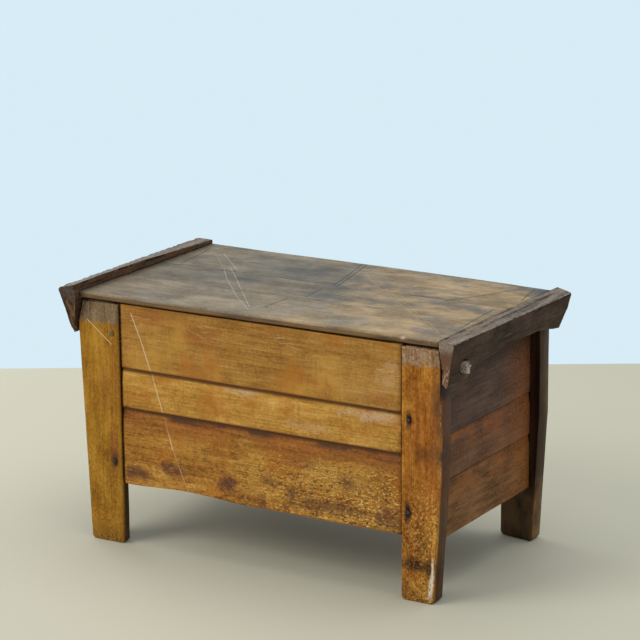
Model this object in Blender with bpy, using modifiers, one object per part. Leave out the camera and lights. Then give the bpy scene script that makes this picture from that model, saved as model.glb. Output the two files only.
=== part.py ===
"""Plank chest: four split posts, boards let into one another and into the posts, and a cleated lid on
two wooden hinge pins. Metres. X runs along the chest, the front is at -Y and the floor is at Z = 0."""

import math

import bmesh
import bpy
from mathutils import Matrix, Vector

GAP = 0.0003  # between two pieces that touch
END_GAP = 0.0006  # past the end of a tongue in its groove
SHOULDER_GAP = 0.001  # between a board's shoulder and the post beside it
OVERCUT = 0.01  # how far a cutter runs past the face that it opens
WELD = 0.00001
FLAT_ANGLE = 0.001  # radians between two faces that count as one flat

# Posts. Each is a wedge in plan: thick at the outer edge, thin where it holds the boards.
CHEST_DEPTH = 0.437
POST_SPREAD = 0.794
POST_HEIGHT = 0.4862
POST_OUTER_THICKNESS = 0.040
POST_INNER_THICKNESS = 0.023
FRONT_LEFT_WIDTH = 0.094
FRONT_RIGHT_WIDTH = 0.082
REAR_LEFT_WIDTH = 0.090
REAR_RIGHT_WIDTH = 0.091
POST_SHOULDER_DROP = 0.0492
LEFT_FOOT_TAPER = 0.018
RIGHT_FOOT_TAPER = 0.0145
RIGHT_KNEE_DROP = 0.177
FOOT_CHAMFER = 0.005
POST_ARRIS = 0.0025

# Wall boards. Each has a thin upper edge, let into the board above, and a tongue at both ends.
BOARD_THICKNESS = 0.018
FRONT_SETBACK = 0.004
SIDE_INSET = 0.022
TONGUE_SETBACK = 0.004
TONGUE_THICKNESS = 0.0075
FRONT_TONGUE_LENGTH = 0.025
SIDE_TONGUE_LENGTH = 0.012
LAP_HEIGHT = 0.009
LAP_CLEARANCE = 0.0005
LAP_SHOULDER = 0.001
BEVEL_HEIGHT = 0.025
BACK_BEVEL_HEIGHT = 0.015
TONGUE_EASE = 0.006
FRONT_BOTTOM = 0.123
FRONT_JOINTS = (0.2775, 0.356)
SIDE_BOTTOM = 0.111
SIDE_JOINTS = (0.2195, 0.304)
BOARD_TOP_GAP = 0.0045
WORN_TONGUE_LIFT = 0.012
WEAR_RISE = 0.0055
WEAR_CENTRE = -0.150
WEAR_REACH = 0.140
WEAR_STATIONS = 24

# Floor of three boards, in a groove of the four lowest wall boards.
FLOOR_HEIGHT = 0.143
FLOOR_THICKNESS = 0.012
FLOOR_GROOVE_DEPTH = 0.006
FLOOR_BOARDS = ("front", "middle", "rear")

# Lid boards. The overhangs run past the faces of the posts; the lid isn't square, and its rear edge is
# bowed: x, and how far it stands behind the straight. The lips are how far the cleats reach over the
# posts to meet the boards.
LID_THICKNESS = 0.013
LID_JOINTS = (0.150, 0.271)
LEFT_LIP = 0.0136
RIGHT_LIP_FRONT = 0.0076
RIGHT_LIP_REAR = 0.0026
FRONT_OVERHANG_LEFT = 0.009
FRONT_OVERHANG_RIGHT = 0.0005
REAR_OVERHANG_LEFT = 0.023
REAR_OVERHANG_RIGHT = 0.003
LID_REAR_BOW = ((0.28, 0.0055), (0.08, 0.007), (-0.05, 0.0035))
LID_ARRIS = 0.004
JOINT_ARRIS = 0.0008
LID_TONGUE_LENGTH = 0.011
LID_TONGUE_THICKNESS = 0.005
LID_TONGUE_INSET = 0.008

# Cleats: wedges outside the posts. Reaches are measured out from their inner face. Between a deep ear
# at each end the lower edge is cut away in an arch; the cuts are shares of the whole drop.
CLEAT_CLEARANCE = 0.0016
CLEAT_LIP = 0.001
CLEAT_TOP_REACH = 0.0254
CLEAT_WAIST_REACH = 0.018
CLEAT_WAIST_DROP = 0.0235
CLEAT_HEEL_REACH = 0.0138
CLEAT_HEEL_RISE = 0.013
CLEAT_TIP_REACH = 0.008
CLEAT_INNER_RISE = 0.009
CLEAT_DROP = 0.0745
CLEAT_EAR = 0.068
CLEAT_EAR_SLOPE = 0.055
CLEAT_SLOPE_CUT = 0.215
CLEAT_CROWN_CUT = 0.357
CLEAT_REAR_CUT = 0.336
RIGHT_CLEAT_LIFT = 0.012
CLEAT_LEAN = 0.30
CLEAT_ARRIS = 0.0015
LEFT_CLEAT_RISE_FRONT = 0.016
LEFT_CLEAT_RISE_REAR = 0.008
LEFT_CLEAT_FALL = 0.009
LEFT_CLEAT_CROWN = 0.0052
RIGHT_CLEAT_FALL_FRONT = 0.0025
RIGHT_CLEAT_FALL_REAR = 0.008
RIGHT_CLEAT_FLARE = 0.006
WAIST_FLARE = 1.5
HEEL_FLARE = 0.8
TIP_FLARE = 1.1
LEFT_CLEAT_FRONT_OVERHANG = 0.031
LEFT_CLEAT_REAR_OVERHANG = 0.023
RIGHT_CLEAT_FRONT_OVERHANG = 0.0005
RIGHT_CLEAT_REAR_OVERHANG = 0.031

# Hinge pins, fast in the rear posts. The lid's underside has to swing past the posts' rear faces.
HINGE_INSET = 0.020
HINGE_DROP = 0.0342
PIN_RADIUS = 0.009
PIN_DEPTH = 0.018
PIN_REACH = 0.0105
PIN_SLACK = 0.0006

# Keeper pegs, loose in the front of the cleats.
PEG_RADIUS = 0.012
PEG_TAPER = 0.0008
PEG_SETBACK = 0.054
PEG_DROP = 0.0442
PEG_PROUD = 0.008
PEG_SLACK = 0.0014
PEG_STANDOFF = 0.001
PEG_ARRIS = 0.0015
ROUND_SIDES = 24

# Nails through the posts' thin edges and the boards' tongues: side, name, board and height on it.
NAIL_HEAD_RADIUS = 0.0045
NAIL_HEAD_HEIGHT = 0.002
NAIL_SHANK_RADIUS = 0.002
NAIL_LENGTH = 0.022
NAIL_POINT = 0.005
NAIL_INSET = 0.016
NAIL_SIDES = 8
NAILS = (
    (-1, "upper", "top", 0.065),
    (-1, "lower", "bottom", 0.043),
    (1, "upper", "middle", 0.0665),
    (1, "lower", "bottom", 0.046),
)

HALF_SPREAD = POST_SPREAD / 2
FRONT = -CHEST_DEPTH / 2
REAR = CHEST_DEPTH / 2
SIDE_FACE = HALF_SPREAD - SIDE_INSET
LID_BOTTOM = POST_HEIGHT + GAP
LID_TOP = LID_BOTTOM + LID_THICKNESS
BOARD_TOP = LID_BOTTOM - BOARD_TOP_GAP
CLEAT_PLANE = HALF_SPREAD + CLEAT_CLEARANCE
CLEAT_BOTTOM = LID_BOTTOM - CLEAT_DROP
LEFT_SEAM = CLEAT_PLANE - LEFT_LIP
RIGHT_SEAM_FRONT = CLEAT_PLANE - RIGHT_LIP_FRONT
RIGHT_SEAM_REAR = CLEAT_PLANE - RIGHT_LIP_REAR
SHOULDER_HEIGHT = POST_HEIGHT - POST_SHOULDER_DROP
HINGE_HEIGHT = POST_HEIGHT - HINGE_DROP
PEG_HEIGHT = POST_HEIGHT - PEG_DROP

# Colour, roughness and metallic value of each kind of piece.
POST_FINISH = ((0.270, 0.118, 0.040), 0.42, 0.0)
FRONT_FINISH = ((0.230, 0.098, 0.036), 0.45, 0.0)
SIDE_FINISH = ((0.090, 0.036, 0.018), 0.50, 0.0)
FLOOR_FINISH = ((0.180, 0.120, 0.070), 0.75, 0.0)
LID_FINISH = ((0.210, 0.140, 0.085), 0.48, 0.0)
CLEAT_FINISH = ((0.070, 0.045, 0.028), 0.60, 0.0)
PEG_FINISH = ((0.300, 0.255, 0.200), 0.75, 0.0)
IRON_FINISH = ((0.060, 0.056, 0.052), 0.55, 0.9)


def new_collection(name):
    collection = bpy.data.collections.new(name)
    bpy.context.scene.collection.children.link(collection)
    return collection


def weld(mesh):
    work = bmesh.new()
    work.from_mesh(mesh)
    bmesh.ops.remove_doubles(work, verts=work.verts, dist=WELD)
    bmesh.ops.dissolve_limit(work, angle_limit=FLAT_ANGLE, verts=work.verts, edges=work.edges)
    bmesh.ops.recalc_face_normals(work, faces=work.faces)
    work.to_mesh(mesh)
    work.free()


def prism(name, outline, start, end, along):
    """A flat outline given thickness: over (y, z) along X, over (x, z) along Y or over (x, y) along Z."""
    curve = bpy.data.curves.new(name, "CURVE")
    curve.dimensions = "2D"
    curve.fill_mode = "BOTH"
    curve.extrude = (end - start) / 2
    spline = curve.splines.new("POLY")
    spline.points.add(len(outline) - 1)
    for point, (across, up) in zip(spline.points, outline):
        point.co = (across, up, 0.0, 1.0)
    spline.use_cyclic_u = True
    holder = bpy.data.objects.new(name, curve)
    bpy.context.scene.collection.objects.link(holder)
    depsgraph = bpy.context.evaluated_depsgraph_get()
    mesh = bpy.data.meshes.new_from_object(holder.evaluated_get(depsgraph))
    mesh.name = name
    bpy.data.objects.remove(holder, do_unlink=True)
    rows = {
        "X": ((0, 0, 1, 0), (1, 0, 0, 0), (0, 1, 0, 0), (0, 0, 0, 1)),
        "Y": ((1, 0, 0, 0), (0, 0, -1, 0), (0, 1, 0, 0), (0, 0, 0, 1)),
        "Z": ((1, 0, 0, 0), (0, 1, 0, 0), (0, 0, 1, 0), (0, 0, 0, 1)),
    }[along]
    shift = Vector([(start + end) / 2 if axis == along else 0.0 for axis in "XYZ"])
    mesh.transform(Matrix.Translation(shift) @ Matrix(rows))
    weld(mesh)
    return mesh


def box(name, corner, opposite):
    size = [abs(b - a) for a, b in zip(corner, opposite)]
    middle = [(a + b) / 2 for a, b in zip(corner, opposite)]
    work = bmesh.new()
    bmesh.ops.create_cube(work, matrix=Matrix.Translation(middle) @ Matrix.Diagonal((*size, 1.0)))
    mesh = bpy.data.meshes.new(name)
    work.to_mesh(mesh)
    work.free()
    return mesh


def rod(name, radius, start, end, along, end_radius=None, sides=ROUND_SIDES):
    """A round bar from one point to another that lies straight along X or Y from it."""
    turn = {"X": Matrix.Rotation(math.radians(90), 4, "Y"), "Y": Matrix.Rotation(math.radians(-90), 4, "X")}
    middle = (Vector(start) + Vector(end)) / 2
    work = bmesh.new()
    bmesh.ops.create_cone(
        work,
        cap_ends=True,
        segments=sides,
        radius1=radius,
        radius2=end_radius or radius,
        depth=(Vector(end) - Vector(start)).length,
        matrix=Matrix.Translation(middle) @ turn[along],
    )
    mesh = bpy.data.meshes.new(name)
    work.to_mesh(mesh)
    work.free()
    return mesh


def loft(name, sections):
    """A closed body through sections that have the same number of points."""
    work = bmesh.new()
    rings = [[work.verts.new(point) for point in section] for section in sections]
    for ring, following in zip(rings, rings[1:]):
        for i in range(len(ring)):
            after = (i + 1) % len(ring)
            work.faces.new((ring[i], ring[after], following[after], following[i]))
    work.faces.new(rings[0])
    work.faces.new(rings[-1])
    bmesh.ops.recalc_face_normals(work, faces=work.faces)
    mesh = bpy.data.meshes.new(name)
    work.to_mesh(mesh)
    work.free()
    return mesh


def add_piece(name, mesh, finish, placement=None, parent=None):
    colour, roughness, metallic = finish
    material = bpy.data.materials.new(name)
    material.use_nodes = True
    shader = material.node_tree.nodes["Principled BSDF"]
    shader.inputs["Base Color"].default_value = (*colour, 1.0)
    shader.inputs["Roughness"].default_value = roughness
    shader.inputs["Metallic"].default_value = metallic
    mesh.materials.append(material)
    piece = bpy.data.objects.new(name, mesh)
    pieces.objects.link(piece)
    piece.parent = parent
    piece.matrix_world = placement or Matrix.Identity(4)
    bpy.context.view_layer.update()
    return piece


def change(piece, tool_mesh, operation):
    """A Boolean by a tool that is drawn in the piece's own frame."""
    tool = bpy.data.objects.new(tool_mesh.name, tool_mesh)
    cutters.objects.link(tool)
    tool.parent = piece
    tool.hide_render = True
    tool.display_type = "WIRE"
    modifier = piece.modifiers.new(tool_mesh.name, "BOOLEAN")
    modifier.operation = operation
    modifier.solver = "EXACT"
    modifier.object = tool


def cut(piece, tool_mesh):
    change(piece, tool_mesh, "DIFFERENCE")


def join(piece, tool_mesh):
    change(piece, tool_mesh, "UNION")


def ease_arrises(piece, width, segments, limit="ANGLE"):
    modifier = piece.modifiers.new("arrises", "BEVEL")
    modifier.width = width
    modifier.segments = segments
    modifier.limit_method = limit
    modifier.angle_limit = math.radians(30)


def post_thickness(width, x):
    """Thickness of a post of this width at a distance x from the middle of its wall."""
    share = (x - (HALF_SPREAD - width)) / width
    return POST_INNER_THICKNESS + (POST_OUTER_THICKNESS - POST_INNER_THICKNESS) * share


def side_shoulder(width):
    """How far in from a post's face the shoulders of the side boards stand."""
    return post_thickness(width, SIDE_FACE) + SHOULDER_GAP


def tier_edges(bottom, joints):
    """Lower and upper edges of the three boards of a wall."""
    lower = (bottom, joints[0] + GAP / 2, joints[1] + GAP / 2)
    upper = (joints[0] - GAP / 2, joints[1] - GAP / 2, BOARD_TOP)
    return list(zip(("bottom", "middle", "top"), lower, upper))


def tongue_span(setback, slack):
    """Outer and inner faces of a tongue, or of its groove when there is slack, behind the wall's plane."""
    outer = setback + TONGUE_SETBACK
    return outer - slack, outer + TONGUE_THICKNESS + slack


def tongue_heights(tier, bottom, top):
    low = bottom + (WORN_TONGUE_LIFT if tier == "bottom" else LAP_HEIGHT + 2 * LAP_CLEARANCE)
    high = top - TONGUE_EASE if tier == "top" else top + LAP_HEIGHT
    return low, high


def add_post(name, placement, side, width, seam):
    """A post in its wall's frame: the wall's plane is Y = 0 and +Y points into the chest."""
    inner = HALF_SPREAD - width
    on_left = "left" in name
    foot = HALF_SPREAD - (LEFT_FOOT_TAPER if on_left else RIGHT_FOOT_TAPER)
    knee = () if on_left else ((HALF_SPREAD, SHOULDER_HEIGHT - RIGHT_KNEE_DROP),)
    top = min(HALF_SPREAD, seam + CLEAT_LIP - CLEAT_CLEARANCE)
    outline = (
        (inner, FOOT_CHAMFER),
        (inner + FOOT_CHAMFER, 0.0),
        (foot - FOOT_CHAMFER, 0.0),
        (foot, FOOT_CHAMFER),
        *knee,
        (HALF_SPREAD, SHOULDER_HEIGHT),
        (top, POST_HEIGHT),
        (inner, POST_HEIGHT),
    )
    mesh = prism(name, [(side * x, z) for x, z in outline], 0.0, POST_OUTER_THICKNESS, "Y")
    for vertex in mesh.vertices:
        if vertex.co.y > POST_OUTER_THICKNESS / 2:
            vertex.co.y = post_thickness(width, abs(vertex.co.x))
    post = add_piece(name, mesh, POST_FINISH, placement)
    ease_arrises(post, POST_ARRIS, 2)

    outer_face, inner_face = tongue_span(FRONT_SETBACK, GAP)
    low = FRONT_BOTTOM + WORN_TONGUE_LIFT - END_GAP
    end = inner + FRONT_TONGUE_LENGTH - SHOULDER_GAP + END_GAP
    cut(post, box(
        name + "_front_groove",
        (side * (inner - OVERCUT), outer_face, low),
        (side * end, inner_face, POST_HEIGHT + OVERCUT),
    ))
    outer_face, inner_face = tongue_span(0.0, GAP)
    low = SIDE_BOTTOM + WORN_TONGUE_LIFT - END_GAP
    end = side_shoulder(width) - SIDE_TONGUE_LENGTH - END_GAP
    cut(post, box(
        name + "_side_groove",
        (side * (SIDE_FACE - outer_face), end, low),
        (side * (SIDE_FACE - inner_face), POST_OUTER_THICKNESS + OVERCUT, POST_HEIGHT + OVERCUT),
    ))
    drop = HINGE_DROP - math.sqrt(HINGE_DROP**2 - HINGE_INSET**2)
    over = OVERCUT * drop / HINGE_INSET
    ease = (
        (-OVERCUT, POST_HEIGHT - drop - over),
        (HINGE_INSET + OVERCUT, POST_HEIGHT + over),
        (-OVERCUT, POST_HEIGHT + OVERCUT),
    )
    across = sorted((side * (inner - OVERCUT), side * (HALF_SPREAD + OVERCUT)))
    cut(post, prism(name + "_top_ease", ease, *across, "X"))
    return post


def wear_along(mesh, start, end):
    """Lifts the lowest edge of a board where the photographed one is worn away."""
    work = bmesh.new()
    work.from_mesh(mesh)
    lowest = min(vertex.co.z for vertex in work.verts)
    for i in range(1, WEAR_STATIONS):
        x = start + (end - start) * i / WEAR_STATIONS
        everything = work.verts[:] + work.edges[:] + work.faces[:]
        bmesh.ops.bisect_plane(work, geom=everything, plane_co=(x, 0, 0), plane_no=(1, 0, 0))
    for vertex in work.verts:
        away = abs(vertex.co.x - WEAR_CENTRE) / WEAR_REACH
        if vertex.co.z < lowest + WELD and away < 1:
            vertex.co.z += WEAR_RISE * (1 + math.cos(math.pi * away)) / 2
    work.to_mesh(mesh)
    work.free()


def add_wall_board(name, placement, finish, tier, setback, span, tongue, bottom, top):
    """A wall board between two shoulders, in its wall's frame."""
    start, end = span
    back = setback + BOARD_THICKNESS
    tongue_outer, tongue_inner = tongue_span(setback, 0.0)
    groove_outer, groove_inner = tongue_span(setback, GAP)
    groove_top = bottom + LAP_HEIGHT + LAP_CLEARANCE
    groove = (
        (groove_outer, bottom),
        (groove_outer, groove_top),
        (groove_inner, groove_top),
        (groove_inner, bottom),
    )
    bevels = (
        (back, top - BACK_BEVEL_HEIGHT),
        (tongue_inner + LAP_SHOULDER, top),
        (tongue_outer - LAP_SHOULDER, top),
        (setback, top - BEVEL_HEIGHT),
    )
    square = ((back, top), (setback, top))
    outline = [(setback, bottom)]
    outline += () if tier == "bottom" else groove
    outline += [(back, bottom)]
    outline += square if tier == "top" else bevels
    mesh = prism(name, outline, start, end, "X")
    if name == "front_bottom_board":
        wear_along(mesh, start, end)
    board = add_piece(name, mesh, finish, placement)
    low, high = tongue_heights(tier, bottom, top)
    join(board, box(
        name + "_tongue",
        (start - tongue, tongue_outer, low),
        (end + tongue, tongue_inner, high),
    ))
    if tier == "bottom":
        cut(board, box(
            name + "_floor_groove",
            (start - OVERCUT, back - FLOOR_GROOVE_DEPTH, FLOOR_HEIGHT - GAP),
            (end + OVERCUT, back + OVERCUT, FLOOR_HEIGHT + FLOOR_THICKNESS + GAP),
        ))
    return board


def nail_mesh(name):
    """Half profile of a nail, turned about local Z. Its head stands on Z = 0."""
    profile = (
        (0.0, NAIL_HEAD_HEIGHT),
        (NAIL_HEAD_RADIUS * 0.7, NAIL_HEAD_HEIGHT * 0.8),
        (NAIL_HEAD_RADIUS, GAP + NAIL_HEAD_HEIGHT * 0.2),
        (NAIL_HEAD_RADIUS * 0.9, GAP),
        (NAIL_SHANK_RADIUS, GAP),
        (NAIL_SHANK_RADIUS, NAIL_POINT - NAIL_LENGTH),
        (0.0, -NAIL_LENGTH),
    )
    mesh = bpy.data.meshes.new(name)
    edges = [(i, i + 1) for i in range(len(profile) - 1)]
    mesh.from_pydata([(x, 0.0, z) for x, z in profile], edges, [])
    return mesh


def add_nail(name, placement, x, z, held):
    outward = Matrix.Translation((x, 0.0, z)) @ Matrix.Rotation(math.radians(90), 4, "X")
    nail = add_piece(name, nail_mesh(name), IRON_FINISH, placement @ outward)
    screw = nail.modifiers.new("turned", "SCREW")
    screw.steps = NAIL_SIDES
    screw.render_steps = NAIL_SIDES
    screw.use_merge_vertices = True
    screw.merge_threshold = WELD
    for piece in held:
        ends = ((x, -OVERCUT, z), (x, NAIL_LENGTH + END_GAP, z))
        hole = NAIL_SHANK_RADIUS + 2 * GAP
        cut(piece, rod(f"{name}_hole_{piece.name}", hole, *ends, "Y", sides=NAIL_SIDES))


def add_front_wall(wall, turn, left, right):
    """The front or the rear wall: its posts, boards and nails. left and right are as seen from outside."""
    placement = turn @ Matrix.Translation((0.0, FRONT, 0.0))
    posts = {}
    for side, (post_name, width, seam) in ((-1, left), (1, right)):
        posts[side] = add_post(post_name, placement, side, width, seam)
    span = (-HALF_SPREAD + left[1] + SHOULDER_GAP, HALF_SPREAD - right[1] - SHOULDER_GAP)
    boards = {}
    for tier, bottom, top in tier_edges(FRONT_BOTTOM, FRONT_JOINTS):
        board = add_wall_board(
            f"{wall}_{tier}_board", placement, FRONT_FINISH, tier, FRONT_SETBACK, span,
            FRONT_TONGUE_LENGTH - END_GAP, bottom, top,
        )
        boards[tier] = (bottom, board)
    for side, level, tier, rise in NAILS:
        inset = HALF_SPREAD - (left if side < 0 else right)[1] + NAIL_INSET
        bottom, board = boards[tier]
        nail_name = posts[side].name.replace("post", level + "_nail")
        add_nail(nail_name, placement, side * inset, bottom + rise, (posts[side], board))
    return posts


def add_side_wall(wall, turn, first_width, last_width, peg_at):
    """The right or the left wall, between the posts that come first and last along its own X."""
    placement = turn @ Matrix.Translation((0.0, -SIDE_FACE, 0.0))
    span = (FRONT + side_shoulder(first_width), REAR - side_shoulder(last_width))
    for tier, bottom, top in tier_edges(SIDE_BOTTOM, SIDE_JOINTS):
        board = add_wall_board(
            f"{wall}_{tier}_board", placement, SIDE_FINISH, tier, 0.0, span,
            SIDE_TONGUE_LENGTH, bottom, top,
        )
        if tier == "top":
            through = BOARD_THICKNESS + OVERCUT
            hole = PEG_RADIUS + PEG_SLACK
            ends = ((peg_at, -OVERCUT, PEG_HEIGHT), (peg_at, through, PEG_HEIGHT))
            cut(board, rod(wall + "_keeper_hole", hole, *ends, "Y"))


def add_floor():
    half_length = SIDE_FACE - BOARD_THICKNESS + FLOOR_GROOVE_DEPTH - GAP
    front_edge = FRONT + FRONT_SETBACK + BOARD_THICKNESS - FLOOR_GROOVE_DEPTH + GAP
    width = -2 * front_edge / len(FLOOR_BOARDS)
    notches = {
        "front": (FRONT, (-1, FRONT_LEFT_WIDTH), (1, FRONT_RIGHT_WIDTH)),
        "rear": (REAR, (-1, REAR_LEFT_WIDTH), (1, REAR_RIGHT_WIDTH)),
    }
    for i, where in enumerate(FLOOR_BOARDS):
        name = f"floor_{where}_board"
        near = front_edge + i * width + (GAP / 2 if i else 0.0)
        far = front_edge + (i + 1) * width - (GAP / 2 if i < len(FLOOR_BOARDS) - 1 else 0.0)
        board = add_piece(name, box(
            name,
            (-half_length, near, FLOOR_HEIGHT),
            (half_length, far, FLOOR_HEIGHT + FLOOR_THICKNESS),
        ), FLOOR_FINISH)
        if where not in notches:
            continue
        plane, *corners = notches[where]
        reach = plane - math.copysign(POST_OUTER_THICKNESS + GAP, plane)
        for side, post_width in corners:
            edge = HALF_SPREAD - post_width - SHOULDER_GAP
            cut(board, box(
                f"{name}_notch_{'left' if side < 0 else 'right'}",
                (side * edge, plane, FLOOR_HEIGHT - OVERCUT),
                (side * HALF_SPREAD, reach, FLOOR_HEIGHT + FLOOR_THICKNESS + OVERCUT),
            ))


def right_seam(y):
    """Where the lid boards end under the right cleat, at a depth y."""
    return RIGHT_SEAM_FRONT + (RIGHT_SEAM_REAR - RIGHT_SEAM_FRONT) * (y - FRONT) / CHEST_DEPTH


def lid_corners():
    """Front left, front right, rear left and rear right corners of the lid's three boards, front to rear."""
    front = (FRONT - FRONT_OVERHANG_LEFT, FRONT - FRONT_OVERHANG_RIGHT)
    rows = []
    for joint in LID_JOINTS:
        rows.append((*front, *(2 * [FRONT + joint - GAP / 2])))
        front = 2 * [FRONT + joint + GAP / 2]
    rows.append((*front, REAR + REAR_OVERHANG_LEFT, REAR + REAR_OVERHANG_RIGHT))
    return rows


def lid_tongue_band(slack):
    """Heights of the lid boards' end tongues, or of the cleats' grooves."""
    middle = (LID_BOTTOM + LID_TOP) / 2
    return middle - LID_TONGUE_THICKNESS / 2 - slack, middle + LID_TONGUE_THICKNESS / 2 + slack


def weigh_arrises(mesh, joint_share):
    """Lets a lid board's edges be eased fully along the lid's front and rear, and a little at a joint."""
    weights = mesh.attributes.new("bevel_weight_edge", "FLOAT", "EDGE")
    for edge in mesh.edges:
        start, end = (mesh.vertices[i].co for i in edge.vertices)
        along = abs(end.x - start.x) > abs(end.y - start.y) and abs(end.x - start.x) > abs(end.z - start.z)
        outermost = max(start.y, end.y) < FRONT + WELD or min(start.y, end.y) > REAR - WELD
        if along:
            weights.data[edge.index].value = 1.0 if outermost else joint_share


def add_lid_boards(pivot):
    low, high = lid_tongue_band(0.0)
    for where, corners in zip(("front", "middle", "rear"), lid_corners()):
        name = f"lid_{where}_board"
        front_left, front_right, rear_left, rear_right = corners
        right_end = right_seam(rear_right)
        outline = [(-LEFT_SEAM, front_left), (right_seam(front_right), front_right), (right_end, rear_right)]
        if where == "rear":
            slope = (rear_right - rear_left) / (right_end + LEFT_SEAM)
            outline += [(x, rear_right + slope * (x - right_end) + bow) for x, bow in LID_REAR_BOW]
        outline.append((-LEFT_SEAM, rear_left))
        mesh = prism(name, outline, LID_BOTTOM, LID_TOP, "Z")
        weigh_arrises(mesh, JOINT_ARRIS / LID_ARRIS)
        board = add_piece(name, mesh, LID_FINISH, None, pivot)
        ease_arrises(board, LID_ARRIS, 3, "WEIGHT")
        near = max(front_left, front_right) + LID_TONGUE_INSET
        far = min(rear_left, rear_right) - LID_TONGUE_INSET
        join(board, box(
            name + "_tongues",
            (-LEFT_SEAM - LID_TONGUE_LENGTH, near, low),
            (right_seam(near) + LID_TONGUE_LENGTH, far, high),
        ))


def cleat_section(side, shape, bottom, lean):
    """Points round a cleat's section: over the top, down the outer face, round the tip and up inside."""
    end, seam, relief, rise, fall, flare = shape
    top = LID_TOP + rise
    inner = bottom + CLEAT_INNER_RISE
    shoulder = max(SHOULDER_HEIGHT, inner + CLEAT_INNER_RISE)

    def inside(z):
        above = max(0.0, z - SHOULDER_HEIGHT) / (LID_BOTTOM - SHOULDER_HEIGHT)
        return CLEAT_PLANE + (relief - CLEAT_PLANE) * above

    points = (
        (seam + GAP, top),
        (CLEAT_PLANE + CLEAT_TOP_REACH + flare, top - fall),
        (CLEAT_PLANE + CLEAT_WAIST_REACH + WAIST_FLARE * flare, LID_BOTTOM - CLEAT_WAIST_DROP),
        (CLEAT_PLANE + CLEAT_HEEL_REACH + HEEL_FLARE * flare, bottom + CLEAT_HEEL_RISE),
        (CLEAT_PLANE + CLEAT_TIP_REACH + TIP_FLARE * flare, bottom),
        (inside(inner), inner),
        (inside(shoulder), shoulder),
        (relief, LID_BOTTOM),
        (seam + GAP, LID_BOTTOM),
    )
    return [Vector((side * x, end + lean * (top - z), z)) for x, z in points]


def cleat_sections(side, front, middle, rear, front_lean, rear_lean, rear_lift, crown):
    """Sections from the front ear, over the arch, to the rear ear. The inner upper edge is crowned."""
    cuts = (
        (FRONT + CLEAT_EAR, 0.0),
        (FRONT + CLEAT_EAR + CLEAT_EAR_SLOPE, CLEAT_SLOPE_CUT),
        (0.0, CLEAT_CROWN_CUT),
        (middle[0], CLEAT_REAR_CUT),
    )
    sections = [cleat_section(side, front, CLEAT_BOTTOM, front_lean)]
    for depth, share in cuts:
        part = (depth - front[0]) / (middle[0] - front[0])
        end, seam, relief, rise, fall, flare = (a + (b - a) * part for a, b in zip(front, middle))
        along = (depth - front[0]) / (rear[0] - front[0])
        swell = 4 * crown * along * (1 - along)
        between = (end, seam, relief, rise + swell, fall + swell, flare)
        sections.append(cleat_section(side, between, CLEAT_BOTTOM + share * CLEAT_DROP, 0.0))
    sections.append(cleat_section(side, rear, CLEAT_BOTTOM + rear_lift, rear_lean))
    return sections


def add_cleat(name, side, sections, pivot):
    """A cleat with its groove for the lid boards, its blind bore for the hinge pin and its keeper hole."""
    cleat = add_piece(name, loft(name, sections), CLEAT_FINISH, None, pivot)
    ease_arrises(cleat, CLEAT_ARRIS, 1)
    low, high = lid_tongue_band(GAP)
    seams = (LEFT_SEAM, LEFT_SEAM) if side < 0 else (RIGHT_SEAM_FRONT, RIGHT_SEAM_REAR)
    near = lid_corners()[0]
    far = lid_corners()[-1]
    cut(cleat, box(
        name + "_groove",
        (side * (min(seams) - OVERCUT), max(near[:2]) + LID_TONGUE_INSET - END_GAP, low),
        (side * (max(seams) + LID_TONGUE_LENGTH + END_GAP), min(far[2:]) - LID_TONGUE_INSET + END_GAP, high),
    ))
    inside = side * (CLEAT_PLANE - OVERCUT)
    blind = side * (CLEAT_PLANE + PIN_REACH + END_GAP)
    hinge_y = REAR - HINGE_INSET
    ends = sorted(((inside, hinge_y, HINGE_HEIGHT), (blind, hinge_y, HINGE_HEIGHT)))
    cut(cleat, rod(name + "_bore", PIN_RADIUS + PIN_SLACK, *ends, "X"))
    outside = side * (CLEAT_PLANE + CLEAT_TOP_REACH + OVERCUT)
    lift = PEG_SLACK - GAP
    peg_y = FRONT + PEG_SETBACK
    ends = sorted(((inside, peg_y, PEG_HEIGHT + lift), (outside, peg_y, PEG_HEIGHT + lift)))
    cut(cleat, rod(name + "_keeper_hole", PEG_RADIUS + PEG_SLACK, *ends, "X"))


def add_cleats(pivot):
    """Each cleat is given by its depth, seam, relief, rise, fall and flare at three places: the front end,
    the last place before the rear post swings by, and the rear end."""
    last_relief = REAR - 2 * POST_OUTER_THICKNESS
    front_end = FRONT - LEFT_CLEAT_FRONT_OVERHANG
    rear_end = REAR + LEFT_CLEAT_REAR_OVERHANG
    rise = LEFT_CLEAT_RISE_REAR
    add_cleat("left_cleat", -1, cleat_sections(
        -1,
        (front_end, LEFT_SEAM, LEFT_SEAM + CLEAT_LIP, LEFT_CLEAT_RISE_FRONT, LEFT_CLEAT_FALL, 0.0),
        (last_relief, LEFT_SEAM, CLEAT_PLANE, rise, 0.0, 0.0),
        (rear_end, LEFT_SEAM, CLEAT_PLANE, rise, 0.0, 0.0),
        CLEAT_LEAN, 0.0, 0.0, LEFT_CLEAT_CROWN,
    ), pivot)
    front_end = FRONT - RIGHT_CLEAT_FRONT_OVERHANG
    rear_end = REAR + RIGHT_CLEAT_REAR_OVERHANG
    fall = RIGHT_CLEAT_FALL_REAR
    add_cleat("right_cleat", 1, cleat_sections(
        1,
        (front_end, RIGHT_SEAM_FRONT, RIGHT_SEAM_FRONT + CLEAT_LIP, 0.0, RIGHT_CLEAT_FALL_FRONT, 0.0),
        (last_relief, right_seam(last_relief), CLEAT_PLANE, 0.0, fall, RIGHT_CLEAT_FLARE / 2),
        (rear_end, right_seam(rear_end), CLEAT_PLANE, 0.0, fall, RIGHT_CLEAT_FLARE),
        0.0, -CLEAT_LEAN, RIGHT_CLEAT_LIFT, 0.0,
    ), pivot)


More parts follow.
